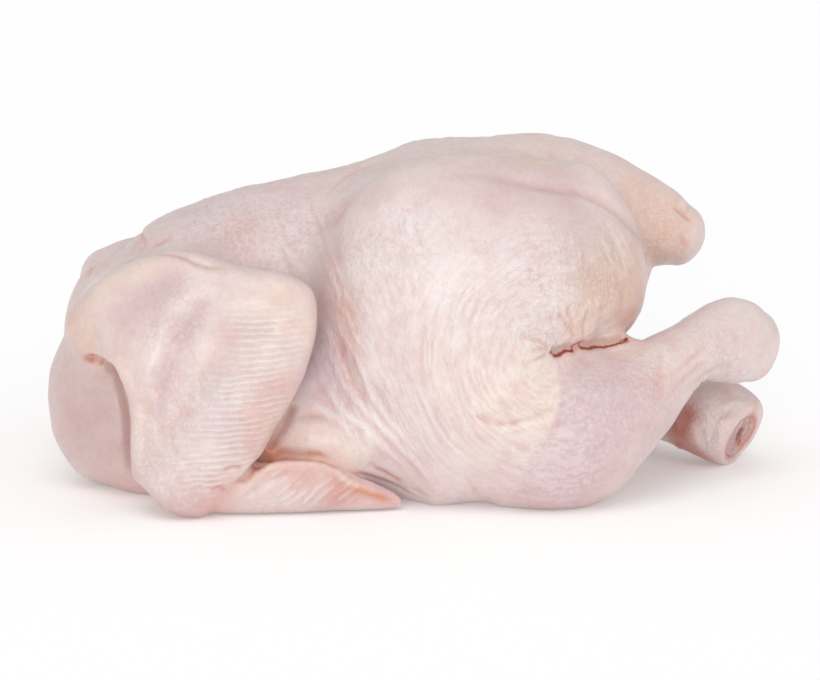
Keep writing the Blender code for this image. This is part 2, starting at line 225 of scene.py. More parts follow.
def limb(stations, grow=0.0, side=(0.0, 1.0, 0.0), round_ends=0.8):
    """A tube along a limb's stations, its side direction squared to the path, and its ends rounded by a
    share of its breadth."""
    rows = between(stations)
    centres, across, breadth = rows[:, :3], rows[:, 3] + grow, rows[:, 4] + grow
    ways = np.gradient(centres, axis=0)
    ways /= np.linalg.norm(ways, axis=1)[:, None]
    sides = np.array(side) - ways * (ways @ np.array(side))[:, None]
    sides /= np.linalg.norm(sides, axis=1)[:, None]
    reach = [round_ends * min(across[end] - grow, breadth[end] - grow) + grow for end in (0, -1)]
    return capped(centres, sides, np.cross(ways, sides), ways, across, breadth, breadth, reach)


def trunk(stations, grow=0.0):
    """The body: ovals across the spine, each leaning with the bird, deeper below their widest level than
    above it."""
    rows = between(stations)
    x, top, bottom, half_width, level = rows.T
    same = np.ones((len(rows), 1))
    up = np.array((0, math.sin(LEAN), math.cos(LEAN)))
    side = np.array((0, math.cos(LEAN), -math.sin(LEAN)))
    centres = np.stack([x, 0 * x, 0 * x], 1) + level[:, None] * up
    reach = 0.7 * half_width[[0, -1]] + grow
    sizes = half_width + grow, top - level + grow, level - bottom + grow
    return capped(centres, same * side, same * up, same * (1.0, 0.0, 0.0), *sizes, reach)


def mesh_of(name, shells):
    """One mesh that holds several shells, given in units, in place in metres."""
    points, faces, start = [], [], 0
    for shell_points, shell_faces in shells:
        points.append((shell_points - MIDDLE) * UNIT)
        faces += [[corner + start for corner in face] for face in shell_faces]
        start += len(shell_points)
    mesh = bpy.data.meshes.new(name)
    mesh.from_pydata(np.vstack(points).tolist(), [], faces)
    mesh.update()
    return mesh


def with_modifier(mesh, kind, chosen=None, **settings):
    """The mesh as one modifier leaves it, which may work on chosen points alone."""
    holder = bpy.data.objects.new("holder", mesh)
    scene.collection.objects.link(holder)
    if chosen is not None:
        holder.vertex_groups.new(name="chosen").add(np.flatnonzero(chosen).tolist(), 1.0, "REPLACE")
        settings["vertex_group"] = "chosen"
    modifier = holder.modifiers.new("finish", kind)
    for setting, value in settings.items():
        setattr(modifier, setting, value)
    bpy.context.view_layer.update()
    result = bpy.data.meshes.new_from_object(holder.evaluated_get(bpy.context.evaluated_depsgraph_get()))
    bpy.data.objects.remove(holder)
    return result


def points_of(mesh):
    """A mesh's points in units, a row each."""
    flat = np.empty(len(mesh.vertices) * 3)
    mesh.vertices.foreach_get("co", flat)
    return flat.reshape(-1, 3) / UNIT + MIDDLE


def put_points(mesh, points):
    """Moves a mesh's points to these places, given in units."""
    mesh.vertices.foreach_set("co", ((points - MIDDLE) * UNIT).ravel())
    mesh.update()


def normals_of(mesh):
    """The direction that a mesh's skin faces at each point."""
    flat = np.empty(len(mesh.vertices) * 3)
    mesh.vertex_normals.foreach_get("vector", flat)
    return flat.reshape(-1, 3)


def relaxed(mesh, points, weight, rounds):
    """In each round a point moves by half its weight towards the mean of its neighbours. Points of no weight
    stay."""
    edges = np.empty(len(mesh.edges) * 2, dtype=np.int64)
    mesh.edges.foreach_get("vertices", edges)
    edges = edges.reshape(-1, 2)
    edges = edges[(weight[edges] > 0).any(1)]
    used, edges = np.unique(edges, return_inverse=True)
    edges = edges.reshape(-1, 2)
    near, share = points[used], weight[used, None] * 0.5
    start, end = edges.T
    neighbours = np.maximum(np.bincount(edges.ravel(), minlength=len(used)), 1)[:, None]
    for _ in range(rounds):
        total = [
            np.bincount(start, near[end, axis], len(used)) + np.bincount(end, near[start, axis], len(used))
            for axis in range(3)
        ]
        near = near + share * (np.stack(total, 1) / neighbours - near)
    points = points.copy()
    points[used] = near
    return points


def blob(points, x, y, z, reach):
    """1 at a spot, falling as a bell to nothing: exp(-2 (distance / reach)²)."""
    return np.exp(-2 * ((points - (x, y, z)) ** 2).sum(1) / reach**2)


def draped(name, shells_at, fillet, voxel, rounds):
    """A skin drawn over several forms: they are joined a fillet's width too fat, smoothed, and drawn in by
    as much, so that the valleys between them fill to a round of that radius."""
    fat = with_modifier(mesh_of(name, shells_at(fillet)), "REMESH", mode="VOXEL", voxel_size=voxel)
    put_points(fat, relaxed(fat, points_of(fat), np.ones(len(fat.vertices)), rounds))
    put_points(fat, points_of(fat) - normals_of(fat) * fillet)
    put_points(fat, relaxed(fat, points_of(fat), np.ones(len(fat.vertices)), 3))
    return fat


def joined(name, meshes):
    """One mesh that holds copies of several, which are in place already."""
    points, faces, start = [], [], 0
    for mesh in meshes:
        points.append(points_of(mesh))
        faces += [[corner + start for corner in face.vertices] for face in mesh.polygons]
        start += len(mesh.vertices)
    return mesh_of(name, [(np.vstack(points), faces)])


LARGE_FORMS = (
    LEFT_BREAST, RIGHT_BREAST, LEFT_FRONT, NECK, LEFT_SHOULDER, RIGHT_SHOULDER, LEFT_HIP, RIGHT_HIP,
    LEFT_THIGH, RIGHT_THIGH, LEFT_KNEE, RIGHT_KNEE,
)
LEFT_WING = (LEFT_UPPER_ARM, LEFT_FOREARM, LEFT_WEB)
RIGHT_WING = (RIGHT_UPPER_ARM, RIGHT_FOREARM, RIGHT_WEB)
THIN_LIMBS = (TAIL, LEFT_SHANK, RIGHT_SHANK, LEFT_CROTCH, RIGHT_HAND)
BODY_FILLET = 9.0
WING_FILLET = 3.0
SMOOTH_ROUNDS = 10
SOFT_ROUNDS = 120


def body_forms(grow):
    """The trunk and the lobes that share its skin, each too fat by as much as grow."""
    return [trunk(TRUNK, grow)] + [limb(form, grow) for form in LARGE_FORMS]


body = draped("body", body_forms, BODY_FILLET, SOFT_VOXEL, 8)
wings = [
    draped("wing", lambda grow: [limb(form, grow) for form in wing], WING_FILLET, WING_VOXEL, 5)
    for wing in (LEFT_WING, RIGHT_WING)
]
limbs = mesh_of("limbs", [limb(form) for form in THIN_LIMBS] + [limb(LEFT_HAND, side=HAND_LEAN)])
skin = with_modifier(joined("skin", [body, limbs, *wings]), "REMESH", mode="VOXEL", voxel_size=SKIN_VOXEL)
skin_points = points_of(skin)
skin_points = relaxed(skin, skin_points, np.ones(len(skin_points)), SMOOTH_ROUNDS)
# Where loose skin bridges a joint it is smoothed far more: x, y, z and reach.
SOFT_SPOTS = [
    (-35, -70, 76, 12), (58, -72, 61, 9), (68, -60, 60, 11), (78, -50, 61, 11), (28, -86, 46, 24),
    (-124, -46, 48, 18), (32, 84, 40, 30), (72, 0, 114, 24), (-112, -50, 74, 22), (-106, 60, 66, 22),
]
soft = np.clip(1.6 * sum(blob(skin_points, *spot) for spot in SOFT_SPOTS) - 0.2, 0, 1)
skin_points = relaxed(skin, skin_points, soft, SOFT_ROUNDS)
put_points(skin, skin_points)

# ------------------------------------------------------------- cut hocks
# The feet are cut off through the hock joints. Each cut is a flat face across the shank's knob, a little
# dished, and the skin's rim round it is rounded. A cut is its middle, the way it faces and its reach.
LEFT_CUT = ((132.0, -9.0, 48.5), (0.82, 0.50, -0.28), 17.0)
RIGHT_CUT = ((127.6, -5.0, 11.5), (0.80, -0.50, -0.36), 20.0)
DISH = 1.2                      # depth of a cut face's dish
RIM = 11.0                      # radius of a cut face
BONE_RADIUS = 8.4
SOCKET = 4.0                    # how deep the flesh lies behind the bone


def cut_off(mesh, place, way, reach):
    """Lays the points past a plane onto it: p - w * ((p - place) * w). They sink by
    depth * (1 - (r/rim)²) inside the rim, and further behind the bone."""
    points = points_of(mesh)
    way = np.array(way) / np.linalg.norm(way)
    offset = points - place
    past = offset @ way
    radius = np.linalg.norm(offset - past[:, None] * way, axis=1)
    beyond = (past > 0) & (np.linalg.norm(offset, axis=1) < reach)
    sink = DISH * np.clip(1 - (radius / RIM) ** 2, 0, 1) + SOCKET * (radius < BONE_RADIUS - 0.4)
    points[beyond] -= way * (past + sink)[beyond, None]
    near_rim = np.exp(-((past / 1.6) ** 2) - ((radius - RIM) / 2.2) ** 2)
    put_points(mesh, relaxed(mesh, points, np.where(near_rim > 0.1, near_rim, 0), 6))


for hock in (LEFT_CUT, RIGHT_CUT):
    cut_off(skin, *hock)

# ----------------------------------------------------- folds and creases
# The skin lies loose over the meat: it folds where a limb meets the body, stretches into webs and streaks,
# and puckers at the joints. Each fold is a smooth line laid on the skin, with a width and a height in units,
# which is below 0 for a crease.
WEB_EDGE = [
    (-115, -64, 54), (-111, -65, 54), (-108, -63, 49), (-106, -63, 44), (-104, -64, 36), (-103, -64, 26),
    (-103, -62, 16), (-100, -60, 9),
]
WEB_LIP = [
    (-111, -70, 58), (-106, -76, 57), (-103, -78, 52), (-101, -80, 46), (-99, -81, 37), (-99, -82, 25),
    (-97, -84, 17), (-93, -87, 11),
]
ARMPIT = [(-121, -58, 53), (-116, -64, 55), (-112, -65, 53)]
SHOULDER_RIDGE = [
    (-119, -65, 66), (-115, -66, 77), (-107, -67, 85), (-98, -70, 90), (-89, -72, 93), (-78, -74, 91),
]
SHOULDER_HOLLOW = [(-113, -70, 67), (-103, -74, 75), (-94, -76, 82), (-86, -77, 86), (-76, -78, 87)]
FOREARM_HOLLOW = [
    (-68, -80, 84), (-74, -81, 79), (-79, -80, 71), (-84, -80, 64), (-88, -82, 55), (-91, -83, 44),
    (-93, -84, 33),
]
WEB_RIDGE = [(-77, -79, 86), (-83, -79, 79), (-87, -78, 72), (-92, -79, 63), (-95, -81, 54), (-97, -82, 44)]
WING_TOP = [(-107, -50, 89), (-95, -63, 94), (-83, -70, 94), (-74, -74, 92), (-66, -74, 91)]
FOREARM_BACK = [
    (-34, -68, 62), (-37, -70, 55), (-41, -72, 46), (-45, -75, 36), (-50, -77, 28), (-54, -80, 22),
    (-59, -86, 16), (-63, -89, 12),
]
WRIST_FOLD = [(-69, -91, 19), (-64, -90, 21), (-60, -88, 20)]
WRIST_CREASE = [(-73, -89, 12), (-69, -89, 13), (-66, -89, 10)]
HAND_TOP = [
    (-62, -89, 11), (-59, -88, 15), (-55, -86, 19), (-49, -85, 21), (-42, -84, 22), (-34, -83, 21),
    (-28, -83, 20), (-20, -83, 13), (-13, -81, 9), (-5, -77, 5),
]
TIP_FOLD = [(-23, -85, 9), (-17, -83, 6.8), (-11, -80, 4.6), (-5, -78, 3.8)]
HAND_SECOND = [(-61, -89, 8), (-56, -89, 11), (-51, -88, 15), (-45, -87, 17), (-39, -86, 18)]
HAND_GAP = [(-58, -86, 18), (-54, -83, 21), (-47, -78, 22), (-40, -78, 22), (-33, -78, 22), (-26, -81, 19)]
BREAST_SIDE = [(-46, -75, 31), (-36, -75, 31), (-27, -75, 28), (-20, -75, 23), (-15, -73, 17)]
BREAST_SIDE_TOP = [(-44, -73, 35), (-33, -72, 36), (-24, -73, 32), (-17, -74, 27)]
FLANK_STREAKS = [
    [(-34, -65, 51), (-29, -69, 43), (-24, -72, 37), (-17, -74, 32), (-9, -75, 24), (0, -75, 16)],
    [(-40, -68, 43), (-33, -70, 38), (-26, -73, 34), (-19, -74, 28)],
    [
        (-29, -67, 57), (-24, -71, 47), (-18, -73, 40), (-11, -75, 33), (-4, -77, 26), (6, -77, 15),
        (11, -73, 6),
    ],
    [(-20, -74, 61), (-16, -76, 52), (-13, -75, 43), (-5, -78, 32), (4, -80, 22)],
]
FLANK_CREASE = [(-27, -69, 66), (-25, -70, 61), (-23, -72, 54), (-21, -72, 47), (-17, -73, 41)]
TIP_CREASES = [
    [(-24, -78, 17), (-16, -72, 13), (-9, -68, 9), (-3, -66, 5), (2, -66, 1)],
    [(-20, -76, 13), (-12, -70, 9), (-6, -67, 5)],
    [(-16, -72, 20), (-9, -72, 13), (0, -70, 5), (6, -70, 1)],
]
THIGH_FRONT = [
    (-27, -31, 107), (-27, -53, 101), (-27, -63, 92), (-24, -69, 82), (-22, -72, 71), (-21, -73, 60),
]
HIP_FOLD = [(-32, -21, 107), (-29, -14, 111), (-25, -6, 114), (-18, 3, 117), (-8, 3, 120)]
PELVIS_EDGE = [
    (11, -63, 121), (25, -61, 123), (40, -60, 121), (49, -58, 118), (62, -49, 115), (70, -45, 111),
    (78, -43, 105), (83, -39, 99), (87, -28, 91), (90, -16, 83),
]
CREASE = [
    (51, -76, 61.2), (54, -75, 60.4), (57, -72, 61.2), (60, -69, 60.3), (63, -66, 60.8), (66, -62, 59.8),
    (69, -58, 59.9), (73, -54, 59.2), (77, -51, 59.6), (81, -48, 61),
]
PUCKERS = [
    [(51, -76, 62), (47, -78, 65), (41, -80, 67)],
    [(51, -76, 62), (47, -78, 62), (42, -80, 61)],
    [(51, -76, 61), (47, -79, 59), (40, -81, 57)],
    [(59, -70, 62), (59, -71, 68), (58, -72, 73), (56, -73, 79)],
    [(60, -70, 66), (56, -73, 71), (54, -75, 75)],
    [(63, -66, 62), (64, -68, 69), (66, -66, 76)],
]
THIGH_LINE = [(22, -86, 40), (26, -87, 38), (33, -87, 36), (40, -86, 37), (47, -86, 40), (51, -84, 43)]
LOW_FOLD = [(19, -82, 18), (23, -76, 9), (26, -71, 4)]
ANKLE = [(91, -50, 57), (92, -58, 53), (91, -64, 47), (89, -68, 41)]
SHANK_WRINKLES = [
    [(95, -65, 42), (103, -55, 48), (111, -47, 52)],
    [(96, -61, 48), (104, -51, 53), (110, -45, 56)],
    [(102, -58, 42), (113, -46, 46), (122, -37, 47)],
]
FAR_SHOULDER_FOLDS = [
    [(-106, 40, 86), (-101, -8, 89), (-105, -9, 85)],
    [(-123, 28, 77), (-123, 6, 76), (-125, 0, 73)],
    [(-98, -18, 88), (-94, -18, 90), (-89, -19, 92)],
]
TAIL_NUB = [(102, 4, 103), (106, 5, 99)]
TAIL_LINE = [(100, -1, 101), (104, 1, 98), (109, 4, 94)]
RUMP_FOLDS = [
    [(74, -55, 86), (78, -51, 78), (80, -47, 71)],
    [(81, -46, 96), (85, -43, 87), (88, -37, 80)],
    [(70, -50, 106), (74, -51, 99), (76, -51, 92)],
]
LOWER_RIGHT = 10                # how much lower the right side's folds and looks lie
HOCK_RIDGES = [
    [(108, -8, 20), (110, -10, 13), (113, -7, 5)],
    [(117, -12, 24), (125, -10, 27), (131, -9, 24)],
    [(116, -13, 18), (122, -14, 21), (127, -13, 21)],
]


def mirrored(strokes):
    """The same strokes on the bird's right side, which lies lower because the bird leans."""
    return [(*stroke[:-1], [(x, -y, z - LOWER_RIGHT) for x, y, z in stroke[-1]]) for stroke in strokes]


# Width, height, how short each end's taper is, and the line itself.
FOLDS = [
    (2.2, -3.2, 8, WEB_EDGE), (2.4, 1.3, 5, WEB_LIP), (2.0, -2.6, 4, ARMPIT), (6.5, 1.3, 4, SHOULDER_RIDGE),
    (6.0, -1.9, 4, SHOULDER_HOLLOW), (4.2, -1.3, 4, FOREARM_HOLLOW), (4.0, 0.9, 4, WEB_RIDGE),
    (1.6, -1.1, 3, WING_TOP), (2.0, -2.6, 6, FOREARM_BACK), (0.8, -0.6, 4, WRIST_FOLD),
    (0.9, -0.8, 4, WRIST_CREASE), (2.0, 1.1, 6, HAND_TOP), (1.8, -0.8, 4, HAND_SECOND),
    (1.2, -0.7, 4, TIP_FOLD), (2.0, -1.4, 6, HAND_GAP), (6.5, 2.2, 4, BREAST_SIDE),
    (1.8, -1.0, 4, BREAST_SIDE_TOP), (5.0, -0.8, 4, THIGH_FRONT), (2.8, -1.8, 3, PELVIS_EDGE),
    (1.5, -2.0, 16, CREASE), (1.2, -0.5, 4, THIGH_LINE), (1.8, -0.7, 4, LOW_FOLD), (2.4, -0.9, 4, ANKLE),
    (4.0, -0.5, 4, FLANK_CREASE),
]
FOLDS += [(1.6, 0.8, 4, streak) for streak in FLANK_STREAKS]
FOLDS += [(0.9, -0.9, 4, crease) for crease in TIP_CREASES]
FOLDS += [(0.8, -0.45, 3, pucker) for pucker in PUCKERS]
FOLDS += [(1.4, -0.5, 3, wrinkle) for wrinkle in SHANK_WRINKLES]
FOLDS += [(2.0, -0.5, 3, fold) for fold in RUMP_FOLDS]
FOLDS += mirrored(FOLDS)
FOLDS += [(3.4, 1.6, 2, TAIL_NUB), (1.0, -0.7, 4, TAIL_LINE), (1.8, -0.8, 4, HIP_FOLD)]
FOLDS += [(1.6, -1.0, 3, fold) for fold in FAR_SHOULDER_FOLDS]
FOLDS += [(1.6, 0.6, 3, ridge) for ridge in HOCK_RIDGES]


def near_curve(points, curve, reach):
    """The points within a reach of a curve, their distances from its nearest stretch, and how far along it
    they lie."""
    chosen = np.flatnonzero(((points > curve.min(0) - reach) & (points < curve.max(0) + reach)).all(1))
    near = points[chosen]
    best = np.full(len(chosen), np.inf)
    place = np.zeros(len(chosen))
    for number, (start, way) in enumerate(zip(curve, np.diff(curve, axis=0))):
        share = np.clip((near - start) @ way / max(way @ way, 1e-9), 0, 1)
        distance = np.linalg.norm(near - start - share[:, None] * way, axis=1)
        closer = distance < best
        best[closer] = distance[closer]
        place[closer] = (number + share[closer]) / (len(curve) - 1)
    return chosen, best, place


def laid(tree, line, steps=5):
    """A smooth curve through a line's stations, each of its points moved to the nearest place on the mesh."""
    curve = between(line, steps)
    return np.array([tuple(tree.find_nearest(Vector(place))[0]) for place in curve])


def stroke(points, tree, width, taper, line):
    """Along a laid line, a bell exp(-(distance/width)²) that fades to nothing at both ends of the line."""
    chosen, distance, place = near_curve(points, laid(tree, line), 3 * width)
    ends = np.clip(taper * place, 0, 1) * np.clip(taper * (1 - place), 0, 1)
    amount = np.zeros(len(points))
    amount[chosen] = np.exp(-((distance / width) ** 2)) * ends
    return amount


def tree_of(mesh):
    """A mesh's faces, in units, ready to be searched for the nearest place."""
    return BVHTree.FromPolygons(points_of(mesh).tolist(), [tuple(face.vertices) for face in mesh.polygons])


tree = tree_of(skin)
skin_points = points_of(skin)
rise = np.zeros(len(skin_points))
for width, height, taper, line in FOLDS:
    rise += height * stroke(skin_points, tree, width, taper, line)

# ---------------------------------------------------- lumps and wrinkles
# Under the skin lie fat and muscle in soft lumps, and the skin itself is crimped: in rings round the crease's
# end on the thigh, steeply on the flank and the back, and crumpled like crepe on the rump and the shanks.
HASH = np.array((73856093, 19349663, 83492791))
LATTICE = np.random.default_rng(11).uniform(-1, 1, 65536)


def lumps(points, shift=0.0):
    """A smooth random field of -1 to 1, its lumps a unit wide: values at whole places, blended by
    3t² - 2t³ on each axis."""
    cell = np.floor(points + shift).astype(np.int64)
    t = points + shift - cell
    t = t * t * (3 - 2 * t)
    total = np.zeros(len(points))
    for corner in itertools.product((0, 1), repeat=3):
        share = np.prod(np.where(corner, t, 1 - t), axis=1)
        key = np.bitwise_xor.reduce((cell + corner) * HASH, axis=1) & 65535
        total += share * LATTICE[key]
    return total


def crimps(across, along, spacing, length, shift):
    """Long crests: lumps of a spacing across and a length along, folded to crests by 1 - 2|n|."""
    return 1 - 2 * np.abs(lumps(np.stack([across / spacing, along / length, 0 * across], 1), shift))


def patch(points, spots):
    """Where a look lies: the highest of several bells exp(-2 (distance/reach)²), brought up so that middles
    are full."""
    return np.clip(1.5 * np.max([blob(points, *spot) for spot in spots], axis=0), 0, 1)


def other_side(spots):
    """The same spots on the bird's right side."""
    return [(x, -y, z - LOWER_RIGHT, reach) for x, y, z, reach in spots]


# Height and x of the fat pad's rear edge.
FAT_EDGE = [(24, 43), (30, 49), (38, 52.5), (45, 54.5), (54, 54), (60, 52)]


def fat_pad(points):
    """The pad of fat on the lower thigh: 1 in front of its edge and 0 behind it, within a bell round the
    edge's middle."""
    height, edge = np.transpose(FAT_EDGE)
    before = np.interp(points[:, 2], height, edge) + 0.8 * lumps(points / 4, 3) - points[:, 0]
    return np.clip(before / 2 + 0.5, 0, 1) * blob(points, 48, -82, 43, 26)


# Each look is a list of spots: x, y, z, reach.
LOOKS = {
    "rings": [
        (18, -84, 66, 34), (34, -84, 42, 32), (48, -84, 22, 26), (10, -84, 34, 26), (44, -74, 88, 24),
    ],
    "steep": [
        (-16, -72, 88, 26), (-22, -72, 60, 22), (-12, -74, 40, 24), (-50, -30, 98, 30), (-72, -14, 98, 26),
        (0, -66, 100, 20), (76, -52, 92, 14),
    ],
    "stripes": [(-52, -82, 66, 16), (-57, -88, 48, 18), (-64, -90, 32, 16), (-74, -90, 20, 12)],
    "feather": [(-50, -86, 10, 12), (-38, -84, 10, 12), (-26, -82, 8, 10)],
    "pucker": [(48, -78, 60, 9), (56, -74, 70, 13), (66, -66, 70, 12), (74, -54, 68, 10)],
    "crepe": [
        (52, -70, 88, 26), (70, -60, 84, 20), (46, -80, 68, 16), (-80, -86, 46, 20), (-92, -84, 26, 20),
        (-84, -76, 74, 20), (112, -40, 50, 22), (112, -6, 16, 20), (90, 0, 96, 20), (20, -20, 124, 30),
    ],
    "veins": [
        (24, -80, 94, 26), (46, -76, 86, 26), (62, -66, 76, 18), (-6, -74, 96, 14), (112, -10, 18, 20),
        (-96, -78, 66, 16),
    ],
    "beads": [
        (68, -78, 38, 26), (56, -82, 18, 24), (86, -62, 42, 22), (-84, -88, 12, 16), (118, -34, 40, 16),
    ],
}
LOOKS = {name: spots + other_side(spots) for name, spots in LOOKS.items()}
RING_MIDDLE = np.array((54.0, 0.0, 62.0))       # the crease's front end, which the thigh's wrinkles circle

rise += 0.9 * lumps(skin_points / 17) + 0.35 * lumps(skin_points / 7, 30)
look = {name: patch(skin_points, spots) for name, spots in LOOKS.items()}
x, y, z = skin_points.T
around = skin_points - RING_MIDDLE
ring = np.hypot(around[:, 0], around[:, 2])
turn = 30 * np.arctan2(-around[:, 2], -around[:, 0])
rise += 0.30 * look["rings"] * crimps(ring, turn, 3.4, 12, 9)
rise += 0.32 * look["steep"] * crimps(0.9 * x + 0.44 * z, 0.44 * x - 0.9 * z, 3.2, 18, 3)
rise += 0.38 * look["pucker"] * crimps(turn, ring, 8, 14, 13)
rise += 0.35 * look["crepe"] * crimps(x + 0.3 * y, z - 0.3 * y, 4.0, 6, 17)
rise += 1.0 * fat_pad(skin_points)
off_the_table = np.clip(z / 4, 0, 1)
skin_points = skin_points + normals_of(skin) * (rise * off_the_table)[:, None]

# The surface stays within the solids' box.
CLEAR = 0.05
OFF_THE_FLOOR = 0.001
low, high = np.array(CAD_BOX) / UNIT + MIDDLE
middle = (low + high) / 2
half = (high - low) / 2 - CLEAR
spread = np.abs(skin_points - middle).max(0)
skin_points[:, :2] = middle[:2] + (skin_points - middle)[:, :2] * np.minimum(1, half / spread)[:2]
put_points(skin, np.clip(skin_points, low + (0, 0, OFF_THE_FLOOR), high - CLEAR))

# The side that faces away from the camera is thinned first, and then the whole skin.
SKIN_POINTS = 98000
HIDDEN_POINTS = 38000
away = normals_of(skin) @ (0.0, 0.98, -0.2)
hidden = relaxed(skin, np.repeat(away[:, None], 3, axis=1), np.ones(len(away)), 4)[:, 0] > 0.05
skin = with_modifier(skin, "DECIMATE", hidden, ratio=1 - (hidden.sum() - HIDDEN_POINTS) / len(hidden))
skin = with_modifier(skin, "DECIMATE", ratio=SKIN_POINTS / len(skin.vertices))
put_points(skin, np.clip(points_of(skin), low + (CLEAR, CLEAR, OFF_THE_FLOOR), high - CLEAR))
skin.name = "skin"
skin.shade_smooth()
chicken = bpy.data.objects.new("skin", skin)
scene.collection.objects.link(chicken)

# ---------------------------------------------------- the skin's colours
# The skin is thin and half clear. It is pale where it lies on fat, cream over thick fat, lilac over dark meat,
# peach at the tail, and red where blood has settled: in pits, creases and cut edges. Hollows are also blushed
# as painted shade, crests are paled as painted highlight, and some spots below are painted light or shade.
# Colours are linear red, green and blue.
PALE = (0.75, 0.66, 0.64)
WHITE = (0.79, 0.73, 0.72)
CREAM = (0.79, 0.69, 0.61)
LILAC = (0.65, 0.51, 0.53)
MAUVE = (0.69, 0.56, 0.58)
GREY = (0.70, 0.61, 0.64)
DUSKY = (0.56, 0.41, 0.39)
BLUSH = (0.70, 0.44, 0.38)
PEACH = (0.74, 0.54, 0.42)
TAN = (0.62, 0.41, 0.29)
SAND = (0.64, 0.49, 0.42)
RED = (0.52, 0.17, 0.11)
SALMON = (0.64, 0.32, 0.26)
ORANGE = (0.66, 0.26, 0.13)
RUSSET = (0.55, 0.25, 0.17)
DRIED_BLOOD = (0.27, 0.04, 0.02)
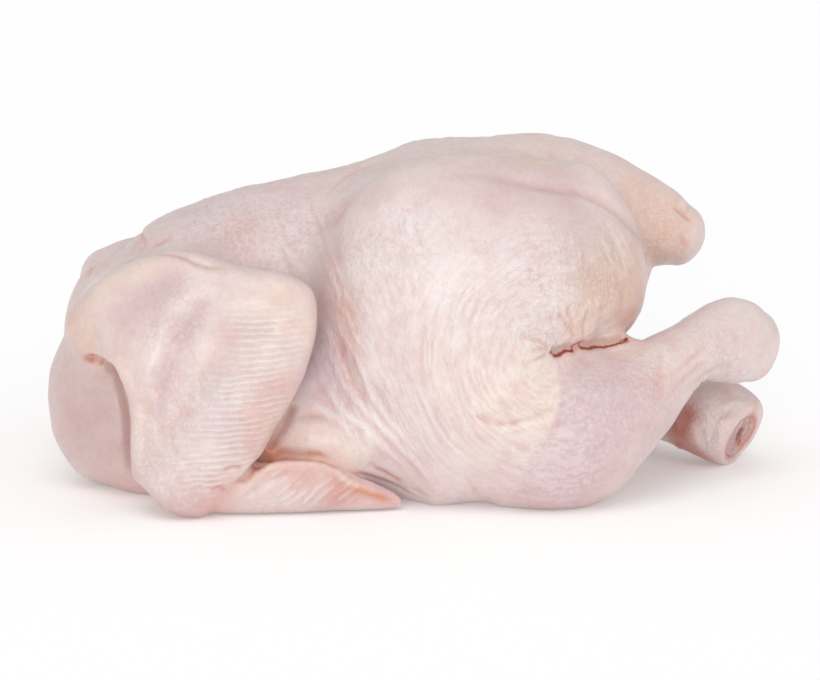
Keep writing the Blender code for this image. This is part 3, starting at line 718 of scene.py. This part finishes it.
# Each paint is laid on in turn: a colour, and spots with a reach and a strength.
PAINTS = [
    (MAUVE, [
        (-66, -26, 96, 46, 0.6), (-20, -60, 96, 30, 0.3), (40, -66, 112, 30, 0.6), (20, -80, 30, 60, 0.4),
    ]),
    # The white on the far hock and low on the thigh is partly pale skin and partly painted light, brightening
    # where the near shank shades the hock and where the thigh faces the table.
    (WHITE, [
        (2, -60, 104, 26, 0.7), (20, -76, 92, 34, 0.7), (12, -80, 70, 30, 0.6), (122, -24, 60, 22, 0.9),
        (-98, -78, 66, 14, 0.5), (-42, -40, 104, 20, 0.5), (118, -10, 26, 16, 1.0), (116, -12, 14, 15, 1.0),
        (24, -70, 2, 26, 0.9), (132, -24, 44, 14, 0.6),
    ]),
    (CREAM, [
        (32, -84, 46, 26, 0.6), (14, -84, 50, 20, 0.2), (44, -80, 56, 14, 0.7), (30, -86, 28, 20, 0.4),
        (-47, -81, 80, 16, 0.9), (-38, -80, 72, 13, 0.9), (-101, -70, 88, 18, 0.8),
        (-117, -66, 72, 14, 0.6), (-103, -78, 56, 10, 0.6), (-98, -82, 36, 12, 0.6),
        (-32, -76, 29, 16, 0.9), (-20, -76, 24, 10, 0.8), (49, -2, 123, 34, 0.5), (69, -61, 80, 18, 0.7),
        (6, -82, 66, 20, 0.3), (96, -4, 84, 16, 0.9), (92, -56, 52, 12, 0.5), (-56, -82, 60, 14, 0.4),
        (118, -12, 22, 8, 0.5),
    ]),
    # The sand on the thigh's rear is partly the rump's grey-brown skin and partly painted shade.
    (SAND, [
        (66, -60, 91, 17, 0.6), (77, -52, 84, 18, 0.9), (70, -58, 74, 14, 0.4), (82, -44, 98, 14, 0.6),
    ]),
    # The dusky spots down at the table, under the drumstick, the wrist, the hand and the far hock, are painted
    # shade.
    (DUSKY, [
        (-118, -57, 28, 34, 0.8), (-122, -40, 44, 24, 0.5), (66, -80, 28, 22, 0.4), (54, -78, 10, 18, 0.8),
        (86, -62, 36, 14, 0.5), (-83, -88, 3, 13, 0.9), (-29, -83, 0, 10, 0.6), (120, -10, 1, 6, 0.8),
    ]),
    # The lilac spots under the pelvis's edge and the one under the wrist at the table are painted shade.
    (LILAC, [
        (69, -80, 36, 26, 0.8), (60, -86, 22, 26, 0.8), (76, -70, 46, 18, 0.7), (48, -80, 12, 24, 0.5),
        (56, -76, 6, 16, 0.7), (86, -62, 38, 14, 0.6), (118, -34, 46, 14, 0.5), (-72, -40, 93, 16, 0.5),
        (33, -62, 120, 14, 0.7), (20, -64, 118, 12, 0.6), (48, -60, 115, 14, 0.6), (-86, -84, 2, 18, 0.5),
    ]),
    (GREY, [
        (-33, -66, 52, 13, 0.9), (-28, -68, 44, 12, 0.9), (-22, -70, 36, 11, 0.7), (-32, -64, 62, 12, 0.8),
        (-36, -66, 46, 10, 0.6), (-72, -90, 41, 14, 0.35), (60, -52, 106, 20, 0.3), (-12, -72, 16, 8, 0.7),
        (-90, -60, 95, 6, 0.5), (-10, -71, 14, 8, 0.5),
    ]),
    (PEACH, [
        (69, -61, 78, 18, 0.6), (97, -4, 92, 14, 0.6), (100, 2, 98, 14, 0.5), (87, -4, 106, 20, 0.5),
        (-125, -57, 66, 12, 0.6), (84, -45, 80, 14, 0.6), (80, -50, 68, 14, 0.6), (-117, -62, 60, 10, 0.6),
        (46, -44, 124, 12, 0.6), (-48, -76, 33, 8, 0.6),
    ]),
    # The first four blush spots, down the thigh's front edge, are painted shade.
    (BLUSH, [
        (-26, -41, 104, 12, 0.5), (-27, -60, 92, 10, 0.45), (-24, -70, 76, 10, 0.6), (-22, -72, 62, 9, 0.6),
        (-64, -26, 97, 14, 0.4), (-53, -89, 40, 12, 0.6), (-44, -87, 50, 9, 0.6), (-56, -88, 30, 10, 0.5),
        (-66, -90, 12, 8, 0.6), (-116, -62, 56, 6, 0.6), (90, -62, 46, 9, 0.4), (60, -68, 66, 12, 0.5),
        (100, -2, 80, 6, 0.5), (-125, 10, 74, 10, 0.6), (-104, -5, 88, 8, 0.5), (-90, -74, 5, 18, 0.7),
        (-106, -50, 4, 16, 0.5), (134, -20, 40, 6, 0.6), (-72, -88, 4, 12, 0.6),
    ]),
    (SALMON, [
        (-40, -86, 16, 9, 0.6), (-26, -85, 14, 9, 0.7), (-19, -83, 8, 8, 0.6), (-9, -79, 5, 8, 0.9),
        (-28, -84, 4, 9, 0.6), (-22, -84, 8, 9, 0.9),
    ]),
    (ORANGE, [
        (-51, -75, 22, 7, 1.0), (-46, -75, 20, 6, 0.9), (-38, -75, 18, 6, 0.7), (-53, -79, 23, 4, 0.9),
        # The spot at (122, -8, 33), where the near knob rests on the far hock, is painted contact shadow.
        (-4, -77, 4, 5, 0.9), (133, -6, 22, 5, 0.9), (122, -8, 33, 4, 0.8), (82, -46, 63, 4, 0.9),
        (84, -43, 67, 4, 0.7),
    ]),
    (RED, [
        (103, -5, 14, 10, 1.0), (106, -8, 21, 7, 0.9), (104, -1, 6, 9, 1.0), (112, -5, 2, 8, 0.9),
        (-116, -64, 54, 3, 0.6), (-67, -89, 9, 2, 0.7),
    ]),
]
# Thin lines of colour along folds: width, strength, how short the tapers are, colour, line.
STAINS = [
    (8.0, 0.8, 5, LILAC, SHOULDER_HOLLOW), (3.0, 0.7, 4, LILAC, FOREARM_HOLLOW),
    # Below, the white along the web's ridge is painted highlight.
    (3.2, 0.6, 4, WHITE, WEB_RIDGE), (4.5, 0.6, 4, CREAM, SHOULDER_RIDGE), (1.0, 0.45, 6, TAN, WING_TOP),
    # Below, the blush along the flank's crease is painted shade, laid in place of a deep groove.
    (1.0, 0.7, 5, RED, ARMPIT), (3.4, 0.35, 4, BLUSH, FLANK_CREASE), (0.8, 0.4, 4, RED, WRIST_FOLD),
    (0.8, 0.4, 4, RED, WRIST_CREASE), (1.1, 0.7, 4, RED, FOREARM_BACK[-4:]),
    (3.0, 0.5, 4, SALMON, HAND_TOP), (1.3, 0.7, 5, CREAM, HAND_TOP), (1.2, 0.8, 4, ORANGE, TIP_FOLD),
    (1.2, 0.6, 6, ORANGE, HAND_GAP), (1.2, 0.5, 4, SALMON, TAIL_LINE), (1.0, 0.4, 4, TAN, THIGH_LINE),
    # Below, the lilac along the pelvis's edge is painted shade under its overhang.
    (1.8, 0.35, 5, LILAC, PELVIS_EDGE), (1.6, 0.6, 3, RED, [(86, -28, 92), (89, -20, 86), (92, -10, 79)]),
]
# White along the flank's streaks is painted highlight on their crests.
STAINS += [(1.0, 0.6, 4, WHITE, streak) for streak in FLANK_STREAKS]
STAINS += [(0.9, 0.6, 3, TAN, pucker) for pucker in PUCKERS]
STAINS += [(0.9, 0.45, 4, RED, crease) for crease in TIP_CREASES]
STAINS += [(1.2, 0.5, 3, BLUSH, wrinkle) for wrinkle in SHANK_WRINKLES]
STAINS += mirrored(STAINS)
STAINS += [(1.2, 0.45, 3, BLUSH, fold) for fold in FAR_SHOULDER_FOLDS]
HOLLOW_ROUNDS = 14
HOLLOW_DEPTH = 0.45             # how far below its surroundings a place is a full hollow


def mixed(colours, colour, amount):
    """Each colour moved towards one colour by an amount of 0 to 1."""
    return colours + (np.array(colour) - colours) * amount[:, None]


tree = tree_of(skin)
skin_points = points_of(skin)
colours = np.tile(PALE, (len(skin_points), 1))
for colour, spots in PAINTS:
    bare = np.ones(len(skin_points))
    for x, y, z, reach, strength in spots:
        bare *= 1 - strength * blob(skin_points, x, y, z, reach)
        bare *= 1 - strength * blob(skin_points, x, -y, z - LOWER_RIGHT, reach) * (abs(y) > 15)
    colours = mixed(colours, colour, 1 - bare)
smooth_points = relaxed(skin, skin_points, np.ones(len(skin_points)), HOLLOW_ROUNDS)
depth = ((smooth_points - skin_points) * normals_of(skin)).sum(1) / HOLLOW_DEPTH
hollow = np.clip(depth, 0, 1)
crest = np.clip(-depth, 0, 1)
# Hollows are blushed, partly as settled blood and partly as painted shade, and crests are paled as painted
# highlight.
colours = mixed(colours, BLUSH, 0.6 * hollow)
colours = mixed(colours, PALE, 0.35 * crest)
pad, near_pad = fat_pad(skin_points), blob(skin_points, 52, -82, 40, 22)
colours = mixed(colours, CREAM, 0.8 * pad)
colours = mixed(colours, LILAC, 0.5 * (near_pad - pad).clip(0, 1))
for cut_place, cut_way, _ in (LEFT_CUT, RIGHT_CUT):
    cut_way = np.array(cut_way) / np.linalg.norm(cut_way)
    past = (skin_points - cut_place) @ cut_way
    radius = np.linalg.norm(skin_points - cut_place - past[:, None] * cut_way, axis=1)
    colours = mixed(colours, PALE, 0.7 * np.exp(-((past / 2) ** 2) - ((radius - RIM - 1) / 1.5) ** 2))
    colours = mixed(colours, RED, 0.9 * np.exp(-((past / 2) ** 2) - ((radius - 9) / 1.3) ** 2))
for width, strength, taper, colour, line in STAINS:
    colours = mixed(colours, colour, strength * stroke(skin_points, tree, width, taper, line))


def keep(mesh, name, values):
    """Stores a number or a colour for each point of a mesh, for its material to read."""
    kind = "FLOAT_COLOR" if values.ndim == 2 else "FLOAT"
    attribute = mesh.attributes.new(name, kind, "POINT")
    if values.ndim == 2:
        attribute.data.foreach_set("color", np.column_stack([values, np.ones(len(values))]).ravel())
    else:
        attribute.data.foreach_set("value", values)


def above(points, tree, line, reach):
    """How many units each point within a reach of a laid line lies above it, or below it as a minus."""
    curve = laid(tree, line)
    chosen, distance, place = near_curve(points, curve, reach)
    level = np.interp(place, np.linspace(0, 1, len(curve)), curve[:, 2])
    height = np.full(len(points), float(reach))
    height[chosen] = distance * np.sign(points[chosen, 2] - level)
    return height


keep(skin, "colour", colours)
keep(skin, "over_crease", above(skin_points, tree, CREASE, 8))
keep(skin, "near_crease", stroke(skin_points, tree, 3.0, 20, CREASE))
keep(skin, "hollow", hollow)
for name, spots in LOOKS.items():
    keep(skin, name, patch(skin_points, spots))


class Wire:
    """One output in a material's node tree. Arithmetic on wires adds Math nodes, and make() any other node."""

    def __init__(self, tree, socket=None):
        self.tree, self.socket = tree, socket

    def make(self, kind, settings=None, inputs=None, output=0):
        """A node of a kind: its settings are set first, then its sockets get their values or links."""
        node = self.tree.nodes.new("ShaderNode" + kind)
        for setting, value in (settings or {}).items():
            setattr(node, setting, value)
        for name, value in (inputs or {}).items():
            if isinstance(value, Wire):
                self.tree.links.new(value.socket, node.inputs[name])
            else:
                node.inputs[name].default_value = value
        return Wire(self.tree, node.outputs[output])

    def maths(self, operation, first, second):
        return self.make("Math", {"operation": operation}, {0: first, 1: second})

    def __add__(self, other):
        return self.maths("ADD", self, other)

    def __sub__(self, other):
        return self.maths("SUBTRACT", self, other)

    def __rsub__(self, other):
        return self.maths("SUBTRACT", other, self)

    def __mul__(self, other):
        return self.maths("MULTIPLY", self, other)

    def absolute(self):
        return self.make("Math", {"operation": "ABSOLUTE"}, {0: self})

    def between(self, low, high):
        """0 at the low value, 1 at the high one, and even in between."""
        return self.make("MapRange", {}, {"Value": self, "From Min": low, "From Max": high})

    def mix(self, first, second):
        """The first colour where this is 0 and the second where it is 1."""
        return self.make("Mix", {"data_type": "RGBA"}, {0: self, 6: first, 7: second}, 2)

    def tint(self, first, second):
        """The first colour where this is 0, and the two colours' product where it is 1."""
        settings = {"data_type": "RGBA", "blend_type": "MULTIPLY"}
        return self.make("Mix", settings, {0: self, 6: first, 7: second}, 2)

    __radd__, __rmul__ = __add__, __mul__


def noise(wires, place, scale, detail=2.0, roughness=0.5):
    """Cloudy noise of 0 to 1 with this many lumps to a metre."""
    inputs = {"Vector": place, "Scale": scale, "Detail": detail, "Roughness": roughness}
    return wires.make("TexNoise", {}, inputs)


def wandered(wires, place, scale, detail, reach):
    """Places moved about by coloured noise, up to a reach of metres."""
    drift = wires.make("TexNoise", {}, {"Vector": place, "Scale": scale, "Detail": detail}, 1)
    return wires.make("VectorMath", {"operation": "MULTIPLY_ADD"}, {0: drift, 1: (reach,) * 3, 2: place})


def turned(wires, place, turn, stretch):
    """Places turned about the Y axis, then squeezed along the new X axis so that lumps grow long there."""
    inputs = {"Vector": place, "Angle": math.radians(turn)}
    level = wires.make("VectorRotate", {"rotation_type": "Y_AXIS"}, inputs)
    return wires.make("VectorMath", {"operation": "MULTIPLY"}, {0: level, 1: (stretch, 1, 1)})


def ripples(wires, place, spacing):
    """Even ridges across Z, a spacing of units apart and slightly wavy. A wave texture's period is
    2 pi / (20 * scale)."""
    scale = 2 * math.pi / (20 * spacing * UNIT)
    inputs = {"Vector": place, "Scale": scale, "Distortion": 3.5, "Detail": 2.0, "Detail Scale": 0.8}
    return wires.make("TexWave", {"bands_direction": "Z"}, inputs)


material = bpy.data.materials.new("raw skin")
material.use_nodes = True
shader = material.node_tree.nodes["Principled BSDF"]
wires = Wire(material.node_tree)
place = wires.make("TexCoord", output=3)
KEPT = ("hollow", "over_crease", "near_crease", *LOOKS)
mask = {name: wires.make("Attribute", {"attribute_name": name}, output=2) for name in KEPT}
painted = wires.make("Attribute", {"attribute_name": "colour"}, output=0)

wander = wandered(wires, place, 300.0, 2.0, 0.0020)
cells = wires.make("TexVoronoi", {"feature": "DISTANCE_TO_EDGE"}, {"Vector": wander, "Scale": 430.0})
crinkle = cells.between(0.0, 0.22)
roots = wires.make("TexVoronoi", {"feature": "F1"}, {"Vector": wander, "Scale": 520.0})
beads = 1 - roots.between(0.0, 0.8)
grain = noise(wires, place, 1100.0, 3.0, 0.65)

# Wrinkles are noise drawn long on the flank and round the crease's end on the thigh, where a place is told by
# its distance from that end and its turn round it. The forearm and the hand have even ripples.
ring_middle = (RING_MIDDLE - MIDDLE) * UNIT
offset = wires.make("VectorMath", {"operation": "SUBTRACT"}, {0: wander, 1: tuple(ring_middle)})
away_x = wires.make("SeparateXYZ", {}, {0: offset}, 0)
away_z = wires.make("SeparateXYZ", {}, {0: offset}, 2)
distance = wires.maths("POWER", away_x * away_x + away_z * away_z, 0.5)
bearing = wires.maths("ARCTAN2", away_z * -1, away_x * -1)
ring_place = wires.make("CombineXYZ", {}, {0: distance, 1: bearing * 0.006})
pucker_place = wires.make("CombineXYZ", {}, {0: distance * 0.12, 1: bearing * 0.016})
broken = noise(wires, place, 160.0)
wrinkles = {
    "rings": noise(wires, ring_place, 640.0, 2.0, 0.6),
    "steep": noise(wires, turned(wires, wander, -64, 0.13), 700.0, 2.0, 0.6),
    "stripes": ripples(wires, turned(wires, place, 4, 1), 2.3) * broken.between(0.2, 0.55) * 0.9,
    "feather": ripples(wires, turned(wires, place, 42, 1), 3.0) * broken.between(0.3, 0.6) * 0.9,
    "pucker": noise(wires, pucker_place, 700.0, 2.0, 0.6),
}
# How high the skin stands, in millimetres, for the bump, and 0 to 1 for its colour, which paints shade into
# its small valleys and highlight onto its crests.
height = grain * 0.16 + beads * (0.2 + 1.2 * mask["beads"]) * 0.22 + crinkle * mask["crepe"] * 0.14
relief = grain.between(0.3, 0.7) * 0.4 + beads * mask["beads"] * 0.9 + crinkle * mask["crepe"] * 0.4
for name, wrinkle in wrinkles.items():
    height = height + wrinkle * mask[name] * 0.45
    relief = relief + wrinkle.between(0.36, 0.62) * mask[name]
bump = wires.make("Bump", {}, {"Height": height, "Strength": 1.0, "Distance": 0.001})

blotch = noise(wires, place, 85.0, 4.0, 0.6)
mottle = noise(wires, place, 420.0, 3.0, 0.65)
BLOTCH_TINT = (0.93, 0.83, 0.85, 1)
MOTTLE_TINT = (0.93, 0.81, 0.80, 1)
PAINTED_VALLEY_SHADE = (0.86, 0.72, 0.69, 1)
PAINTED_CREST_HIGHLIGHT = (0.82, 0.76, 0.74, 1)
VEIN_COLOUR = (0.62, 0.44, 0.29, 1)
PORE_COLOUR = (0.55, 0.36, 0.30, 1)
tone = (blotch.between(0.42, 0.72) * 0.7).tint(painted, BLOTCH_TINT)
tone = (mottle.between(0.40, 0.75) * 0.5).tint(tone, MOTTLE_TINT)
# Painted shade darkens the skin's small valleys, and painted highlight lightens its crests.
tone = ((1 - relief).between(0.0, 1.0) * 0.45).tint(tone, PAINTED_VALLEY_SHADE)
tone = (relief.between(0.6, 1.3) * 0.2).mix(tone, PAINTED_CREST_HIGHLIGHT)
swirl = wandered(wires, place, 120.0, 1.0, 0.006)
vein = 1 - (noise(wires, swirl, 230.0, 1.0) - 0.5).absolute().between(0.0, 0.02)
veins = vein * mask["veins"] * noise(wires, place, 150.0, 2.0).between(0.42, 0.54)
tone = (veins * 0.55).mix(tone, VEIN_COLOUR)
follicles = wires.make("TexVoronoi", {"feature": "F1"}, {"Vector": wander, "Scale": 260.0})
pore = (1 - follicles.between(0.04, 0.13)) * noise(wires, place, 60.0, 2.0).between(0.45, 0.62)
tone = (pore * 0.4).mix(tone, PORE_COLOUR)
off_crease = (mask["over_crease"] + (noise(wires, place, 600.0, 3.0, 0.7) - 0.5) * 1.5).absolute()
halo = (1 - off_crease.between(0.5, 2.6)) * mask["near_crease"] * 0.6
tone = halo.mix(tone, (*RUSSET, 1))
split = (1 - off_crease.between(0.4, 1.0)) * mask["near_crease"].between(0.1, 0.4)
tone = split.mix(tone, (*DRIED_BLOOD, 1))
material.node_tree.links.new(tone.socket, shader.inputs["Base Color"])
rough = 0.30 + mottle * 0.22 + mask["hollow"] * 0.1
material.node_tree.links.new(rough.socket, shader.inputs["Roughness"])
material.node_tree.links.new(bump.socket, shader.inputs["Normal"])
shader.inputs["Subsurface Weight"].default_value = 0.25
shader.inputs["Subsurface Radius"].default_value = (1.0, 0.4, 0.25)
shader.inputs["Subsurface Scale"].default_value = 0.003
shader.inputs["IOR"].default_value = 1.42
shader.inputs["Coat Weight"].default_value = 0.25
shader.inputs["Coat Roughness"].default_value = 0.16
skin.materials.append(material)
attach(chicken, "root")
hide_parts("chicken")

# ------------------------------------------------------------- leg bones
# A joint's cartilage shows in each cut: wet, lavender grey, swollen into two knuckles, and torn open to the
# red marrow in a long pit. Behind it the bone runs back into the flesh.
KNUCKLE = 0.35                  # how far the knuckles stand over the groove between them
PIT_DEPTH = 1.6
DOME = 0.5
FACE_PLACE = -0.8               # where the rim of the joint's face lies past the cut
# Distance past the cut, and radius.
BONE_STEM = [(-12, 5.5), (-8, 6.6), (-4, 7.8), (-2, BONE_RADIUS), (-1, BONE_RADIUS)]
CARTILAGE = (0.48, 0.33, 0.34)
MARROW = (0.20, 0.035, 0.03)


def leg_bone(name, cut, pits):
    """The stem's rings, then rings across the joint's face, which stands off its rim by
    dome * (1 - (r/radius)²) - knuckle * cos(2 turn) * (r/radius)². A pit is how far right and up it lies,
    its length and its breadth, all as shares of the radius."""
    way = np.array(cut[1]) / np.linalg.norm(cut[1])
    side = np.cross((0, 0, 1), way)
    side /= np.linalg.norm(side)
    up = np.cross(way, side)
    face = np.linspace(0.97, 0.03, 40) * BONE_RADIUS
    domed = FACE_PLACE + DOME * (1 - (face / BONE_RADIUS) ** 2)
    past = np.concatenate([[at for at, _ in BONE_STEM], domed])
    radii = np.concatenate([[radius for _, radius in BONE_STEM], face])
    centres = np.array(cut[0]) + past[:, None] * way
    same = np.ones((len(centres), 1))
    rows = oval_rows(centres, same * side, same * up, radii, radii, radii)
    points, faces = closed_shell(rows)
    offset = (points - cut[0]) / BONE_RADIUS
    right, high, out = offset @ side, offset @ up, offset @ way
    face = np.clip(out * 4 + 1.8, 0, 1)
    points += way * (face * KNUCKLE * (high**2 - right**2))[:, None]
    colours = np.tile(CARTILAGE, (len(points), 1))
    for pit_right, pit_up, long, broad in pits:
        pit = face * np.exp(-(((right - pit_right) / broad) ** 2) - ((high - pit_up) / long) ** 2)
        points -= way * (PIT_DEPTH * pit)[:, None]
        colours = mixed(colours, RED, 0.8 * np.clip(3 * pit, 0, 1))
        colours = mixed(colours, MARROW, np.clip(3 * pit - 0.9, 0, 1))
    rim = np.clip((np.hypot(right, high) - 0.78) / 0.2, 0, 1)
    colours = mixed(colours, BLUSH, 0.5 * rim)
    mesh = mesh_of(name, [(points, faces)])
    keep(mesh, "colour", colours)
    mesh.shade_smooth()
    bone = bpy.data.objects.new(name, mesh)
    scene.collection.objects.link(bone)
    return bone


cartilage = bpy.data.materials.new("wet cartilage")
cartilage.use_nodes = True
shader = cartilage.node_tree.nodes["Principled BSDF"]
wires = Wire(cartilage.node_tree)
place = wires.make("TexCoord", output=3)
painted = wires.make("Attribute", {"attribute_name": "colour"}, output=0)
stringy = noise(wires, place, 700.0, 4.0, 0.6)
tone = (stringy.between(0.45, 0.7) * 0.5).mix(painted, (0.46, 0.20, 0.18, 1))
tone = ((1 - stringy).between(0.5, 0.7) * 0.35).mix(tone, (0.78, 0.68, 0.68, 1))
cartilage.node_tree.links.new(tone.socket, shader.inputs["Base Color"])
bump = wires.make("Bump", {}, {"Height": stringy * 0.5, "Strength": 1.0, "Distance": 0.001})
cartilage.node_tree.links.new(bump.socket, shader.inputs["Normal"])
cartilage.node_tree.links.new((0.22 + stringy * 0.2).socket, shader.inputs["Roughness"])
shader.inputs["Subsurface Weight"].default_value = 0.2
shader.inputs["Subsurface Radius"].default_value = (1.0, 0.4, 0.3)
shader.inputs["Subsurface Scale"].default_value = 0.002
for side, cut, pits in (
    ("left", LEFT_CUT, [(0.1, 0.0, 0.4, 0.14), (-0.5, 0.3, 0.2, 0.1)]),
    ("right", RIGHT_CUT, [(0.0, 0.1, 0.46, 0.30), (0.45, -0.45, 0.25, 0.16)]),
):
    bone = leg_bone(f"{side}_hock_joint", cut, pits)
    bone.data.materials.append(cartilage)
    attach(bone, "root")
    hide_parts(f"{side}_leg_bone")

# ------------------------------------------------------- table and light
# A white table under a white sky, lit from the front by a wide lamp and from above by another, so that the
# shadows are soft. The card brightens the side that faces the tail.
table = bpy.data.meshes.new("table")
table.from_pydata([(-6, -6, 0), (6, -6, 0), (6, 6, 0), (-6, 6, 0)], [], [(0, 1, 2, 3)])
table_object = bpy.data.objects.new("table", table)
scene.collection.objects.link(table_object)
white = bpy.data.materials.new("white table")
white.use_nodes = True
shader = white.node_tree.nodes["Principled BSDF"]
shader.inputs["Base Color"].default_value = (0.94, 0.94, 0.94, 1)
shader.inputs["Roughness"].default_value = 0.9
shader.inputs["Emission Color"].default_value = (1, 1, 1, 1)
shader.inputs["Emission Strength"].default_value = 0.14
table.materials.append(white)

world = bpy.data.worlds.new("studio")
scene.world = world
world.use_nodes = True
world.node_tree.nodes["Background"].inputs["Color"].default_value = (1, 1, 1, 1)
world.node_tree.nodes["Background"].inputs["Strength"].default_value = 0.665

# Soft lamps: name, the way the light goes, energy, spread in degrees.
LAMPS = [
    ("softbox overhead", (0.08, 0.45, -0.90), 0.70, 40),
    ("softbox by the camera", (0.05, 0.99, -0.12), 0.97, 30),
    ("white card on the right", (-0.80, 0.60, -0.06), 0.30, 60),
]
for name, way, energy, spread in LAMPS:
    lamp = bpy.data.lights.new(name, "SUN")
    lamp.energy = energy
    lamp.angle = math.radians(spread)
    lamp_object = bpy.data.objects.new(name, lamp)
    lamp_object.rotation_euler = Vector(way).to_track_quat("-Z", "Y").to_euler()
    scene.collection.objects.link(lamp_object)
scene.view_settings.view_transform = "Standard"
